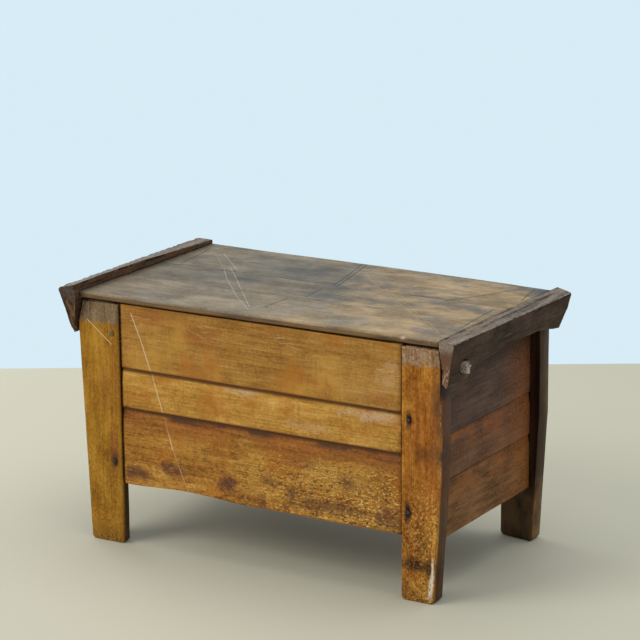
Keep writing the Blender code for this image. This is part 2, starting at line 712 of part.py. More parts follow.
def add_pin(name, side, post):
    """A hinge pin and its hole in a rear post, whose own X is reversed because it is turned half round."""
    inner = HALF_SPREAD - PIN_DEPTH
    outer = CLEAT_PLANE + PIN_REACH
    ends = sorted(((side * inner, 0.0, 0.0), (side * outer, 0.0, 0.0)))
    placement = Matrix.Translation((0.0, REAR - HINGE_INSET, HINGE_HEIGHT))
    pin = add_piece(name, rod(name, PIN_RADIUS, *ends, "X"), PEG_FINISH, placement)
    ease_arrises(pin, PEG_ARRIS / 2, 1)
    ends = sorted((
        (-side * (inner - END_GAP), HINGE_INSET, HINGE_HEIGHT),
        (-side * (HALF_SPREAD + OVERCUT), HINGE_INSET, HINGE_HEIGHT),
    ))
    cut(post, rod(name + "_hole", PIN_RADIUS + GAP, *ends, "X"))


def add_peg(name, side, pivot):
    """A keeper peg, drawn back until its inner end is clear of the side board."""
    inner = SIDE_FACE + PEG_STANDOFF
    outer = CLEAT_PLANE + CLEAT_WAIST_REACH + PEG_PROUD
    ends = sorted(((side * inner, 0.0, 0.0), (side * outer, 0.0, 0.0)))
    radii = (PEG_RADIUS - PEG_TAPER, PEG_RADIUS) if side > 0 else (PEG_RADIUS, PEG_RADIUS - PEG_TAPER)
    placement = Matrix.Translation((0.0, FRONT + PEG_SETBACK, PEG_HEIGHT))
    peg = add_piece(name, rod(name, radii[0], *ends, "X", radii[1]), PEG_FINISH, placement, pivot)
    ease_arrises(peg, PEG_ARRIS, 2)


for leftover in list(bpy.data.objects):
    bpy.data.objects.remove(leftover, do_unlink=True)
pieces = new_collection("plank_chest")
cutters = new_collection("cutters")

add_front_wall(
    "front",
    Matrix.Identity(4),
    ("front_left_post", FRONT_LEFT_WIDTH, LEFT_SEAM),
    ("front_right_post", FRONT_RIGHT_WIDTH, RIGHT_SEAM_FRONT),
)
rear_posts = add_front_wall(
    "rear",
    Matrix.Rotation(math.pi, 4, "Z"),
    ("rear_right_post", REAR_RIGHT_WIDTH, RIGHT_SEAM_REAR),
    ("rear_left_post", REAR_LEFT_WIDTH, LEFT_SEAM),
)
quarter = math.pi / 2
peg_y = FRONT + PEG_SETBACK
add_side_wall("right", Matrix.Rotation(quarter, 4, "Z"), FRONT_RIGHT_WIDTH, REAR_RIGHT_WIDTH, peg_y)
add_side_wall("left", Matrix.Rotation(-quarter, 4, "Z"), REAR_LEFT_WIDTH, FRONT_LEFT_WIDTH, -peg_y)
add_floor()

lid_pivot = bpy.data.objects.new("lid_pivot", None)
pieces.objects.link(lid_pivot)
lid_pivot.location = (0.0, REAR - HINGE_INSET, HINGE_HEIGHT)
bpy.context.view_layer.update()
add_lid_boards(lid_pivot)
add_cleats(lid_pivot)
add_pin("right_hinge_pin", 1, rear_posts[-1])
add_pin("left_hinge_pin", -1, rear_posts[1])
add_peg("right_keeper_peg", 1, lid_pivot)
add_peg("left_keeper_peg", -1, lid_pivot)
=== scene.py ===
"""Looks of the plank chest: hand-worked boards with worn edges, aged varnish, scratches and scribed lines.
Metres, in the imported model's frame: X along the chest, -Y to the front, the floor at Z = 0."""

import math
import random

import bmesh
import bpy
from mathutils import Matrix, Vector, noise


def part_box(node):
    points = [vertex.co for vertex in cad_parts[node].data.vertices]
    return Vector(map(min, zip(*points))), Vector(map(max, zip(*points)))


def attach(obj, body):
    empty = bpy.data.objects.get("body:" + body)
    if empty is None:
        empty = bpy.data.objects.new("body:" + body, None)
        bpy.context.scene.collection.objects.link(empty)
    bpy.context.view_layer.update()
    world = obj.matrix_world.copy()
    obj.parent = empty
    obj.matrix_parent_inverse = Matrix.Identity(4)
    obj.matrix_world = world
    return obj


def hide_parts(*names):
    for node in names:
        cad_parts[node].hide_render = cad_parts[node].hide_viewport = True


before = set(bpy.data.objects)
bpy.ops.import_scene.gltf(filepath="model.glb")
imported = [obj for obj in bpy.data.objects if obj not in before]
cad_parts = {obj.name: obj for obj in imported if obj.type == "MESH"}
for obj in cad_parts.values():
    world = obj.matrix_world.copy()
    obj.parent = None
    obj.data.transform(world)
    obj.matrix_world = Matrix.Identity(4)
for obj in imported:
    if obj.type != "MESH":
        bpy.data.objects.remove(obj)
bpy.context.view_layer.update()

# Camera, from the photograph's perspective.
CAMERA_PLACE = (2.5785, -4.2649, 1.7330)
CAMERA_AZIMUTH = math.radians(31.006)
CAMERA_ELEVATION = math.radians(14.553)
CAMERA_ROLL = math.radians(-0.456)
CAMERA_LENS = 150.95  # millimetres, as the sensor's width is
CAMERA_SENSOR = 36.0

# Stage.
FLOOR_HALF_WIDTH = 6.0
FLOOR_AHEAD = 6.0
FLOOR_BEHIND = 1.25  # from the chest to where the photograph's floor meets its wall
FLOOR_COLOUR = (0.47, 0.445, 0.345, 1.0)
FLOOR_ROUGHNESS = 0.8
BACKDROP_COLOUR = (0.68, 0.84, 0.92, 1.0)
AMBIENT_COLOUR = (0.93, 0.97, 1.0, 1.0)
AMBIENT_STRENGTH = 0.70

# How the meshes are worked.
TOUCHING = 1e-6  # points that lie closer count as one
FLAT_WITHIN = math.radians(0.5)  # faces that turn less against each other are joined
ARRIS_FROM = math.radians(25)  # an edge that turns more is a worn arris
SHARP_FROM = math.radians(40)  # an edge that turns more isn't shaded smooth
SLIVER = 2e-7  # square metres; the normal of a smaller face can't be relied on
STANDING = 0.0005  # points that lie lower stay on the floor
GROOVE_WIDTH = 0.0032  # of a scribed line
GROOVE_DEPTH = 0.0006

# Places that the marks are set out from.
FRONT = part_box("front_left_post")[0].y
RIGHT_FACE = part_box("front_right_post")[1].x
BOARD_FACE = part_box("front_top_board")[0].y
BOARD_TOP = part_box("front_top_board")[1].z
FRONT_JOINTS = {
    "middle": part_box("front_top_board")[0].z,
    "bottom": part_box("front_middle_board")[0].z,
}
SIDE_JOINTS = {
    "top": BOARD_TOP,
    "middle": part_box("right_top_board")[0].z,
    "bottom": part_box("right_middle_board")[0].z,
}
LID_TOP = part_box("lid_front_board")[1].z
LID_CHIP = 0.318  # along the lid's front edge

# Colours, in linear light. A pair goes from dark grain to light grain.
PALE_SCRATCH = (0.60, 0.42, 0.24)
PINK_SCRATCH = (0.47, 0.24, 0.11)
BARE_CHIP = (0.66, 0.56, 0.42)
BARE_WOOD = ((0.105, 0.068, 0.039), (0.285, 0.196, 0.120))
# Pale varnish bloom, and also a painted sheen where the middle front board's bevelled upper edge catches the
# light.
PALE_BLOOM_AND_SHEEN = (0.52, 0.36, 0.21)
PURPLE_BROWN = (0.095, 0.036, 0.020)
RED_BROWN = ((0.145, 0.042, 0.008), (0.330, 0.108, 0.019))
ORANGE_BROWN = (0.37, 0.130, 0.014)
HONEY = (0.52, 0.285, 0.050)
PIT = (0.040, 0.016, 0.006)
# Near black: soot and stains, and also painted shade in gaps, joints and under the cleats.
SOOT_AND_SHADE = (0.014, 0.009, 0.006)


class Paint:
    """A procedural material: layers of colour laid over the object's own coordinates, in metres."""

    def __init__(self, name):
        self.material = bpy.data.materials.new(name)
        self.material.use_nodes = True
        self.nodes = self.material.node_tree.nodes
        self.links = self.material.node_tree.links
        self.shader = self.nodes["Principled BSDF"]
        coordinates = self.nodes.new("ShaderNodeTexCoord").outputs
        self.place = coordinates["Object"]
        self.x, self.y, self.z = self.node("ShaderNodeSeparateXYZ", {0: self.place}).outputs
        self.facing = self.node("ShaderNodeSeparateXYZ", {0: coordinates["Normal"]}).outputs

    def node(self, kind, inputs, **settings):
        made = self.nodes.new(kind)
        for key, value in settings.items():
            setattr(made, key, value)
        for key, value in inputs.items():
            if isinstance(value, bpy.types.NodeSocket):
                self.links.new(value, made.inputs[key])
            else:
                made.inputs[key].default_value = value
        return made

    def math(self, operation, a, b=0.0):
        return self.node("ShaderNodeMath", {0: a, 1: b}, operation=operation).outputs[0]

    def vector(self, operation, a, b=(0.0, 0.0, 0.0)):
        node = self.node("ShaderNodeVectorMath", {0: a, 1: b}, operation=operation)
        return node.outputs["Value" if operation in ("DOT_PRODUCT", "LENGTH") else "Vector"]

    def add(self, a, b):
        return self.math("ADD", a, b)

    def times(self, *masks):
        result = masks[0]
        for mask in masks[1:]:
            result = self.math("MULTIPLY", result, mask)
        return result

    def away(self, value):
        return self.math("ABSOLUTE", value)

    def between(self, value, start, end, low=0.0, high=1.0):
        """A smooth change from low, at start, to high, at end."""
        inputs = {"Value": value, "From Min": start, "From Max": end, "To Min": low, "To Max": high}
        return self.node("ShaderNodeMapRange", inputs, interpolation_type="SMOOTHSTEP").outputs[0]

    def noise(self, scale, detail=3.0, roughness=0.55, stretch=(1.0, 1.0, 1.0), offset=(0.0, 0.0, 0.0)):
        mapping = {"Vector": self.place, "Location": offset, "Scale": stretch}
        vector = self.node("ShaderNodeMapping", mapping).outputs[0]
        inputs = {"Vector": vector, "Scale": scale, "Detail": detail, "Roughness": roughness}
        return self.node("ShaderNodeTexNoise", inputs).outputs[0]

    def ramp(self, value, *stops):
        node = self.node("ShaderNodeValToRGB", {0: value})
        elements = node.color_ramp.elements
        while len(elements) < len(stops):
            elements.new(1.0)
        for element, (position, colour) in zip(elements, stops):
            element.position = position
            element.color = (*colour, 1.0)
        return node.outputs[0]

    def cover(self, colour, over, mask):
        """Lays one colour over another where the mask is strong."""
        over = over if isinstance(over, bpy.types.NodeSocket) else (*over, 1.0)
        # The node's colours are its inputs 6 and 7 and its output 2.
        return self.node("ShaderNodeMix", {0: mask, 6: colour, 7: over}, data_type="RGBA").outputs[2]

    def stroke(self, start, end, width):
        """A mask along a straight mark. A coordinate of None isn't looked at."""
        looked_at = [i for i in range(3) if start[i] is not None]
        first = Vector([value or 0.0 for value in start])
        run = Vector([value or 0.0 for value in end]) - first
        along = run.normalized()
        across = Vector((0.0, 0.0, 0.0))
        across[looked_at[0]] = -along[looked_at[1]]
        across[looked_at[1]] = along[looked_at[0]]
        offset = self.vector("SUBTRACT", self.place, first)
        side = self.away(self.vector("DOT_PRODUCT", offset, across))
        reach = self.vector("DOT_PRODUCT", offset, along)
        begun = self.between(reach, -width, width)
        ended = self.between(reach, run.length + width, run.length - width)
        return self.times(self.between(side, width / 2, width / 5), begun, ended)

    def blot(self, centre, radii, uneven=0.0):
        """A soft-edged mask round a point. A radius of None leaves that direction out."""
        scale = [1.0 / radius if radius else 0.0 for radius in radii]
        offset = self.vector("MULTIPLY", self.vector("SUBTRACT", self.place, centre), scale)
        return self.between(self.add(self.vector("LENGTH", offset), uneven), 1.05, 0.15)

    def towards(self, axis, sign=1):
        """1 where the surface faces along an axis."""
        return self.between(self.facing["XYZ".index(axis)], sign * 0.55, sign * 0.85)

    def arris(self):
        """1 on a worn edge and 0 a few millimetres away from it."""
        worn_edge = self.node("ShaderNodeAttribute", {}, attribute_name="arris").outputs["Fac"]
        return self.between(worn_edge, 0.6, 1.0)

    def finish(self, colour, roughness, height, depth, sheen):
        self.links.new(colour, self.shader.inputs["Base Color"])
        self.links.new(roughness, self.shader.inputs["Roughness"])
        self.shader.inputs["Specular IOR Level"].default_value = sheen
        bump = self.node("ShaderNodeBump", {"Height": height, "Distance": depth, "Strength": 0.7})
        self.links.new(bump.outputs[0], self.shader.inputs["Normal"])
        return self.material


class Wood(Paint):
    """Old wood with its grain along one axis. Marks are added to it, and done closes it."""

    # Shares of the figure, the fibre, the clouds, the crumbs and the slow drift in the shade.
    STREAKED = (0.22, 0.18, 0.24, 0.24, 0.12)
    BLOTCHED = (0.14, 0.15, 0.32, 0.29, 0.10)
    MOTTLED = (0.10, 0.18, 0.28, 0.34, 0.10)

    def __init__(self, name, along, seed, dark, body, light, shares=STREAKED):
        super().__init__(name)
        self.along = along
        self.seed = Vector((seed * 3.17, seed * 1.31, seed * 2.23))
        self.figure = self.grain(0.07, 120.0, 4.0, 0.62)
        self.fibre = self.grain(0.04, 480.0, 3.0, 0.6)
        self.cloud = self.grain(0.6, 20.0, 4.0, 0.62)
        self.crumb = self.grain(0.7, 230.0, 4.0, 0.75)
        drift = self.grain(0.6, 6.0, 2.0, 0.5)
        layers = (self.figure, self.fibre, self.cloud, self.crumb, drift)
        shade = self.times(self.figure, shares[0])
        for layer, share in zip(layers[1:], shares[1:]):
            shade = self.add(shade, self.times(layer, share))
        self.colour = self.ramp(shade, (0.41, dark), (0.50, body), (0.59, light))
        self.relief = self.add(self.times(self.fibre, 0.5), self.times(self.crumb, 0.5))
        self.weathered = self.add(self.times(self.figure, 0.5), self.times(self.crumb, 0.5))
        torn = self.noise(55.0, 5.0, 0.7, offset=self.seed)
        self.torn = self.times(self.add(torn, -0.5), 2.2)

    def grain(self, squeeze, scale, detail, roughness):
        """Noise drawn out along the grain."""
        stretch = [squeeze if axis == self.along else 1.0 for axis in "XYZ"]
        return self.noise(scale, detail, roughness, stretch, self.seed)

    def stained(self, dark, light):
        """A colour for a mark that keeps the grain in view."""
        return self.ramp(self.weathered, (0.40, dark), (0.60, light))

    def mark(self, over, *masks):
        self.colour = self.cover(self.colour, over, self.times(*masks))

    def patch(self, centre, radii, over, strength, thin=0.38):
        """A mark with a broken outline, used for stains, blooms and painted sheen, and more gaps in it where
        thin is greater.
        """
        gaps = self.between(self.crumb, thin, thin + 0.20)
        self.mark(over, self.blot(centre, radii, self.torn), gaps, strength)

    def pits(self, scale, most, strength, *masks):
        """Small dark pits, as many as the masks let through."""
        holes = self.between(self.grain(0.5, scale, 2.0, 0.6), most, most + 0.09)
        self.mark(PIT, holes, strength, *masks)

    def bare(self, mask):
        """Unvarnished wood, as it is inside the chest."""
        self.mark(self.stained(*BARE_WOOD), mask, 0.95)

    def bare_inside(self, across, face):
        """Unvarnished wood on the inner side of a wall whose outer face lies at that distance."""
        self.bare(self.between(self.away(across), face - 0.008, face - 0.012))

    def done(self, dull, bright, sheen=0.5, depth=0.0008):
        """Closes the material. Its roughness goes from dull, in open grain, to bright, where it is rubbed."""
        rubbed = self.add(self.times(self.fibre, 0.5), self.times(self.cloud, 0.5))
        roughness = self.between(rubbed, 0.38, 0.62, dull, bright)
        return self.finish(self.colour, roughness, self.relief, depth, sheen)


def everything(work):
    return work.verts[:] + work.edges[:] + work.faces[:]


def slice_up(work, spacing):
    """Cuts a mesh by planes across each axis, so that its faces can be given a worn surface."""
    for axis in range(3):
        if not spacing[axis]:
            continue
        low = min(vertex.co[axis] for vertex in work.verts)
        high = max(vertex.co[axis] for vertex in work.verts)
        count = int((high - low) / spacing[axis])
        normal = Vector([float(axis == i) for i in range(3)])
        for i in range(1, count):
            point = normal * (low + (high - low) * i / count)
            bmesh.ops.bisect_plane(
                work, geom=everything(work), dist=TOUCHING, plane_co=point, plane_no=normal,
            )


def scribe(work, start, end, width, depth):
    """Cuts a shallow groove in the upward faces, from one point to another in plan."""
    start = Vector((*start, 0.0))
    end = Vector((*end, 0.0))
    along = (end - start).normalized()
    across = Vector((-along.y, along.x, 0.0))
    for shift in (-width / 2, 0.0, width / 2):
        faces = [face for face in work.faces if face.normal.z > 0.8]
        geometry = list({part for face in faces for part in (face, *face.edges, *face.verts)})
        bmesh.ops.bisect_plane(
            work, geom=geometry, dist=TOUCHING, plane_co=start + across * shift, plane_no=across,
        )
    for vertex in work.verts:
        offset = (vertex.co - start) * Vector((1.0, 1.0, 0.0))
        inside = 0 < offset.dot(along) < (end - start).length
        if inside and abs(offset.dot(across)) < width / 10 and vertex.co.z > LID_TOP - width:
            vertex.co.z -= depth


def blunt(work, direction, depth):
    """Cuts off the corner that lies furthest along a direction."""
    normal = Vector(direction).normalized()
    furthest = max(vertex.co.dot(normal) for vertex in work.verts)
    cut = bmesh.ops.bisect_plane(
        work, geom=everything(work), dist=TOUCHING, plane_co=normal * (furthest - depth), plane_no=normal,
        clear_outer=True,
    )
    edges = [part for part in cut["geom_cut"] if isinstance(part, bmesh.types.BMEdge)]
    bmesh.ops.edgenet_fill(work, edges=edges)
    bmesh.ops.recalc_face_normals(work, faces=work.faces)


def mark_arrises(work):
    """Stores where the mesh has a sharp edge. Slivers don't count."""
    layer = work.verts.layers.float.new("arris")
    for vertex in work.verts:
        clear = [
            edge for edge in vertex.link_edges
            if min(face.calc_area() for face in edge.link_faces) > SLIVER
        ]
        sharpest = max((edge.calc_face_angle(0.0) for edge in clear), default=0.0)
        vertex[layer] = 1.0 if sharpest > ARRIS_FROM else 0.0


def wear(work, depth, lengths, dents, seed):
    """Takes a little off every surface, unevenly, and more at each dent. Nothing is moved outwards."""
    moves = []
    for vertex in work.verts:
        place = Vector([c / length + seed for c, length in zip(vertex.co, lengths)])
        away = depth * max(0.0, 0.5 + 0.45 * noise.noise(place) + 0.25 * noise.noise(place * 3.1))
        for centre, radii, hollow in dents:
            offset = Vector([(a - b) / radius for a, b, radius in zip(vertex.co, centre, radii)])
            away += hollow * max(0.0, 1.0 - offset.length_squared)
        moves.append(vertex.normal * away)
    for vertex, move in zip(work.verts, moves):
        on_floor = vertex.co.z < STANDING
        vertex.co -= move
        if on_floor:
            vertex.co.z = 0.0


def worked(node, body, material, spacing, depth, lengths, seed, dents=(), lines=(), corners=()):
    """A hand-worked copy of a CAD node, with uneven surfaces, dents, scribed lines and blunted corners."""
    work = bmesh.new()
    work.from_mesh(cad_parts[node].data)
    bmesh.ops.remove_doubles(work, verts=work.verts, dist=TOUCHING)
    bmesh.ops.dissolve_limit(work, angle_limit=FLAT_WITHIN, verts=work.verts, edges=work.edges)
    bmesh.ops.connect_verts_concave(work, faces=work.faces)
    for direction, cut_depth in corners:
        blunt(work, direction, cut_depth)
    slice_up(work, spacing)
    work.normal_update()
    mark_arrises(work)
    for line in lines:
        scribe(work, *line)
    work.normal_update()
    wear(work, depth, lengths, dents, seed)
    bmesh.ops.triangulate(work, faces=work.faces)
    mesh = bpy.data.meshes.new(node + "_worked")
    work.to_mesh(mesh)
    work.free()
    mesh.shade_smooth()
    mesh.set_sharp_from_angle(angle=SHARP_FROM)
    mesh.materials.append(material)
    piece = bpy.data.objects.new(node + "_worked", mesh)
    bpy.context.scene.collection.objects.link(piece)
    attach(piece, body)
    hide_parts(node)


def post_wood(node, seed, palette, streaks, grey_from, bare):
    """Varnished post: streaks up and down, bare grey wood at the top, painted shade on the sides and a dirty
    foot.
    """
    wood = Wood(node, "Z", seed, *palette, Wood.BLOTCHED)
    wood.mark((0.12, 0.036, 0.007), wood.between(wood.grain(0.06, 110.0, 3.0, 0.6), 0.53, 0.66), streaks)
    low_down = wood.between(wood.z, 0.34, 0.04, 0.10, 1.0)
    wood.pits(420.0, 0.56, 0.65, low_down)
    ragged = wood.add(wood.z, wood.times(wood.grain(0.4, 120.0, 3.0, 0.6), 0.02))
    bared = wood.between(wood.crumb, 0.36, 0.60, 0.45, 1.0)
    wood.mark(wood.stained(*bare), wood.between(ragged, grey_from + 0.003, grey_from + 0.017), bared)
    # Painted shade: every face but the front and the back is darkened.
    sides = wood.between(wood.away(wood.y), abs(FRONT) - 0.0035, abs(FRONT) - 0.010)
    painted_side_shade = wood.ramp(wood.figure, (0.38, (0.026, 0.012, 0.006)), (0.62, (0.060, 0.027, 0.014)))
    wood.mark(painted_side_shade, sides, 0.9)
    foot = wood.between(wood.z, 0.05, 0.0)
    wood.mark((0.040, 0.020, 0.008), foot, wood.between(wood.crumb, 0.40, 0.62, 0.0, 0.8))
    wood.mark((0.40, 0.22, 0.07), wood.arris(), wood.between(wood.figure, 0.42, 0.62, 0.0, 0.4))
    return wood


def front_left_post():
    """Honey-coloured post, reddened in parts, with a scratch and dark nail holes."""
    palette = ((0.160, 0.060, 0.005), (0.300, 0.137, 0.010), (0.43, 0.222, 0.026))
    bare = ((0.100, 0.074, 0.050), (0.265, 0.198, 0.132))
    wood = post_wood("front_left_post", 1.0, palette, streaks=0.28, grey_from=0.440, bare=bare)
    blend = wood.between(wood.cloud, 0.38, 0.60, 0.10, 0.70)
    reddened = wood.stained(*RED_BROWN)
    wood.mark(reddened, wood.blot((-0.306, FRONT, 0.360), (0.026, None, 0.150)), blend)
    wood.mark(reddened, wood.blot((-0.340, FRONT, 0.300), (0.020, None, 0.070)), blend)
    wood.mark(reddened, wood.blot((-0.321, FRONT, 0.195), (0.016, None, 0.070)), 0.8)
    wood.mark(PURPLE_BROWN, wood.blot((-0.320, FRONT, 0.172), (0.013, None, 0.026)), 0.8)
    wood.mark((0.085, 0.038, 0.010), wood.arris(), wood.between(wood.x, -0.335, -0.350), 0.75)
    # Painted highlight along the rounded right arris.
    wood.mark((0.45, 0.235, 0.085), wood.arris(), wood.between(wood.x, -0.325, -0.312), 0.6)
    wood.mark(SOOT_AND_SHADE, wood.blot((-0.319, FRONT, 0.164), (0.008, None, 0.015)), 0.9)
    wood.mark(SOOT_AND_SHADE, wood.blot((-0.376, FRONT, 0.480), (0.004, None, 0.004)))
    on_face = wood.between(wood.y, FRONT + 0.006, FRONT + 0.003)
    wood.mark(PALE_SCRATCH, wood.stroke((-0.3755, None, 0.443), (-0.320, None, 0.400), 0.0026), on_face, 0.85)
    dents = (
        ((-0.319, FRONT, 0.421), (0.008, 0.010, 0.013), 0.002),
        ((-0.319, FRONT, 0.164), (0.009, 0.010, 0.014), 0.002),
    )
    return wood, dents


def front_right_post():
    """Redder post: scuffed and pocked low down, sooty at the foot, with a white split, nail slots and painted
    shade under the cleat.
    """
    palette = ((0.150, 0.042, 0.005), (0.365, 0.136, 0.014), (0.57, 0.290, 0.052))
    bare = ((0.120, 0.072, 0.038), (0.43, 0.292, 0.178))
    wood = post_wood("front_right_post", 2.0, palette, streaks=0.30, grey_from=0.449, bare=bare)
    blend = wood.between(wood.cloud, 0.36, 0.58, 0.2, 0.9)
    reddened = wood.stained((0.17, 0.040, 0.008), (0.41, 0.115, 0.018))
    wood.mark(reddened, wood.blot((0.362, FRONT, 0.320), (0.045, None, 0.120)), blend, 0.8)
    wood.mark(PURPLE_BROWN, wood.blot((0.392, FRONT, 0.370), (0.022, None, 0.090)), blend)
    wood.mark(PURPLE_BROWN, wood.blot((0.384, FRONT, 0.280), (0.030, None, 0.046), wood.torn), blend, 0.8)
    low_down = wood.between(wood.z, 0.28, 0.14)
    scuffs = wood.between(wood.grain(0.9, 260.0, 3.0, 0.6), 0.52, 0.60)
    rightward = wood.between(wood.x, 0.32, 0.37, 0.35, 0.9)
    wood.mark(reddened, wood.blot((0.372, FRONT, 0.225), (0.034, None, 0.075)), blend, 0.7)
    wood.mark((0.60, 0.34, 0.08), scuffs, low_down, rightward, wood.towards("Y", -1))
    pocked = wood.between(wood.grain(0.9, 300.0, 2.0, 0.6), 0.54, 0.62)
    wood.mark((0.085, 0.026, 0.008), pocked, low_down, wood.towards("Y", -1), 0.8)
    wood.patch((0.358, FRONT, 0.282), (0.020, None, 0.028), SOOT_AND_SHADE, 0.7)
    torn = wood.between(wood.crumb, 0.34, 0.52)
    wood.mark(SOOT_AND_SHADE, wood.blot((0.345, FRONT, 0.071), (0.044, None, 0.019)), torn, 0.9)
    wood.mark(SOOT_AND_SHADE, wood.blot((0.374, FRONT, 0.066), (0.018, None, 0.034)), torn, 0.8)
    wood.patch((0.360, FRONT, 0.110), (0.022, None, 0.050), SOOT_AND_SHADE, 0.6)
    wood.patch((0.350, FRONT, 0.030), (0.030, None, 0.022), HONEY, 0.5)
    by_front = wood.between(wood.y, FRONT + 0.008, FRONT + 0.005)
    for height in (0.346, 0.167):
        wood.mark(SOOT_AND_SHADE, wood.blot((0.331, FRONT, height), (0.008, None, 0.015)), 0.8)
    for x, top, bottom in ((0.3305, 0.357, 0.331), (0.3280, 0.187, 0.152)):
        wood.mark(SOOT_AND_SHADE, wood.stroke((x, None, top), (x, None, bottom), 0.013), by_front, 0.9)
    splinters = wood.between(wood.grain(0.3, 300.0, 3.0, 0.7), 0.36, 0.46)
    split = (
        ((0.3805, None, 0.088), (0.3785, None, 0.050), 0.006),
        ((0.3785, None, 0.054), (0.3745, None, 0.013), 0.012),
    )
    for start, end, width in split:
        wood.mark(BARE_CHIP, wood.stroke(start, end, width), by_front, splinters)
    chips = wood.between(wood.noise(150.0, 2.0), 0.54, 0.60)
    wood.mark(BARE_CHIP, chips, wood.arris(), by_front, wood.between(wood.x, 0.365, 0.372), 0.8)
    # Painted shade on the post's right side, under the cleat.
    shade_under_cleat = wood.between(wood.away(wood.add(wood.z, -0.425)), 0.045, 0.025)
    wood.mark(SOOT_AND_SHADE, wood.between(wood.x, RIGHT_FACE - 0.004, RIGHT_FACE - 0.002), shade_under_cleat, 0.9)
    dents = (
        ((RIGHT_FACE, FRONT, 0.280), (0.012, 0.014, 0.014), 0.004),
        ((RIGHT_FACE - 0.018, FRONT, 0.050), (0.008, 0.012, 0.035), 0.003),
        ((0.331, FRONT, 0.344), (0.007, 0.010, 0.015), 0.003),
        ((0.329, FRONT, 0.170), (0.007, 0.010, 0.020), 0.003),
    )
    return wood, dents


def rear_post(node, seed):
    """Dark post, shadowed where the side boards meet it."""
    palette = ((0.022, 0.012, 0.005), (0.085, 0.046, 0.020), (0.19, 0.105, 0.040))
    bare = ((0.060, 0.042, 0.028), (0.18, 0.128, 0.083))
    wood = post_wood(node, seed, palette, streaks=0.4, grey_from=0.470, bare=bare)
    inward = wood.between(wood.y, abs(FRONT) - 0.034, abs(FRONT) - 0.040)
    shadow = wood.times(wood.between(wood.z, 0.10, 0.15), wood.between(wood.z, 0.41, 0.36, 0.55, 0.95))
    wood.mark((0.008, 0.004, 0.003), inward, shadow)
    outward = wood.math("MAXIMUM", wood.towards("X"), wood.towards("X", -1))
    tanned = wood.ramp(wood.cloud, (0.36, (0.050, 0.024, 0.008)), (0.62, (0.200, 0.096, 0.026)))
    wood.mark(tanned, outward, wood.between(wood.z, 0.26, 0.10, 0.2, 0.9))
    mossy = wood.ramp(wood.cloud, (0.36, (0.024, 0.013, 0.006)), (0.62, (0.120, 0.068, 0.030)))
    wood.mark(mossy, wood.towards("Y", -1), wood.between(wood.z, 0.12, 0.09))
    return wood, ()


def add_posts():
    looks = {
        "front_left_post": front_left_post(),
        "front_right_post": front_right_post(),
        "rear_left_post": rear_post("rear_left_post", 3.0),
        "rear_right_post": rear_post("rear_right_post", 4.0),
    }
    for seed, (node, (wood, dents)) in enumerate(looks.items()):
        worked(
            node, "chest", wood.done(dull=0.52, bright=0.34, sheen=0.12),
            spacing=(0.007, None, 0.009), depth=0.0013, lengths=(0.05, 0.05, 0.14), seed=seed + 0.3,
            dents=dents,
        )


def add_front_marks(wood):
    """Stains, blooms and painted sheen on the front wall, where the photograph has them."""
    blooms_and_sheen = (
        ((0.250, 0.340), (0.085, 0.016), 0.75), ((-0.025, 0.346), (0.055, 0.012), 0.5),
        ((0.283, 0.411), (0.035, 0.022), 0.35), ((0.293, 0.440), (0.030, 0.010), 0.35),
        ((0.120, 0.300), (0.060, 0.014), 0.30),
    )
    stains = (
        ((-0.110, 0.269), (0.090, 0.010), 0.85), ((0.272, 0.270), (0.050, 0.014), 0.9),
        ((-0.270, 0.150), (0.050, 0.022), 0.9), ((-0.190, 0.166), (0.035, 0.020), 0.9),
        ((-0.060, 0.160), (0.030, 0.026), 0.95), ((0.165, 0.150), (0.090, 0.022), 0.7),
        ((0.285, 0.150), (0.045, 0.030), 0.8), ((0.101, 0.225), (0.060, 0.020), 0.35),
        ((0.030, 0.180), (0.030, 0.016), 0.6), ((0.200, 0.205), (0.050, 0.024), 0.4),
        ((0.016, 0.132), (0.014, 0.026), 0.8), ((0.079, 0.165), (0.016, 0.016), 0.8),
        ((0.103, 0.143), (0.040, 0.008), 0.8), ((0.200, 0.205), (0.016, 0.012), 0.8),
        ((-0.208, 0.175), (0.010, 0.007), 0.9), ((0.300, 0.262), (0.040, 0.020), 0.7),
    )
    reddened = (
        ((-0.228, 0.468), (0.080, 0.030), 0.7), ((-0.116, 0.440), (0.060, 0.034), 0.5),
        ((0.272, 0.372), (0.060, 0.020), 0.6), ((0.040, 0.470), (0.090, 0.020), 0.4),
    )
    red_brown = wood.stained(*RED_BROWN)
    clouded = wood.between(wood.cloud, 0.34, 0.6)
    for (x, z), (reach, rise), strength in reddened:
        wood.mark(red_brown, wood.blot((x, FRONT, z), (reach, None, rise)), clouded, strength)
    # Pale patches: varnish bloom, and painted sheen on the bevelled upper edge of the middle board, just
    # under the joint.
    for (x, z), (reach, rise), strength in blooms_and_sheen:
        wood.patch((x, FRONT, z), (reach, None, rise), PALE_BLOOM_AND_SHEEN, strength, thin=0.30)
    for (x, z), (reach, rise), strength in stains:
        wood.patch((x, FRONT, z), (reach, None, rise), PURPLE_BROWN, strength, thin=0.32)


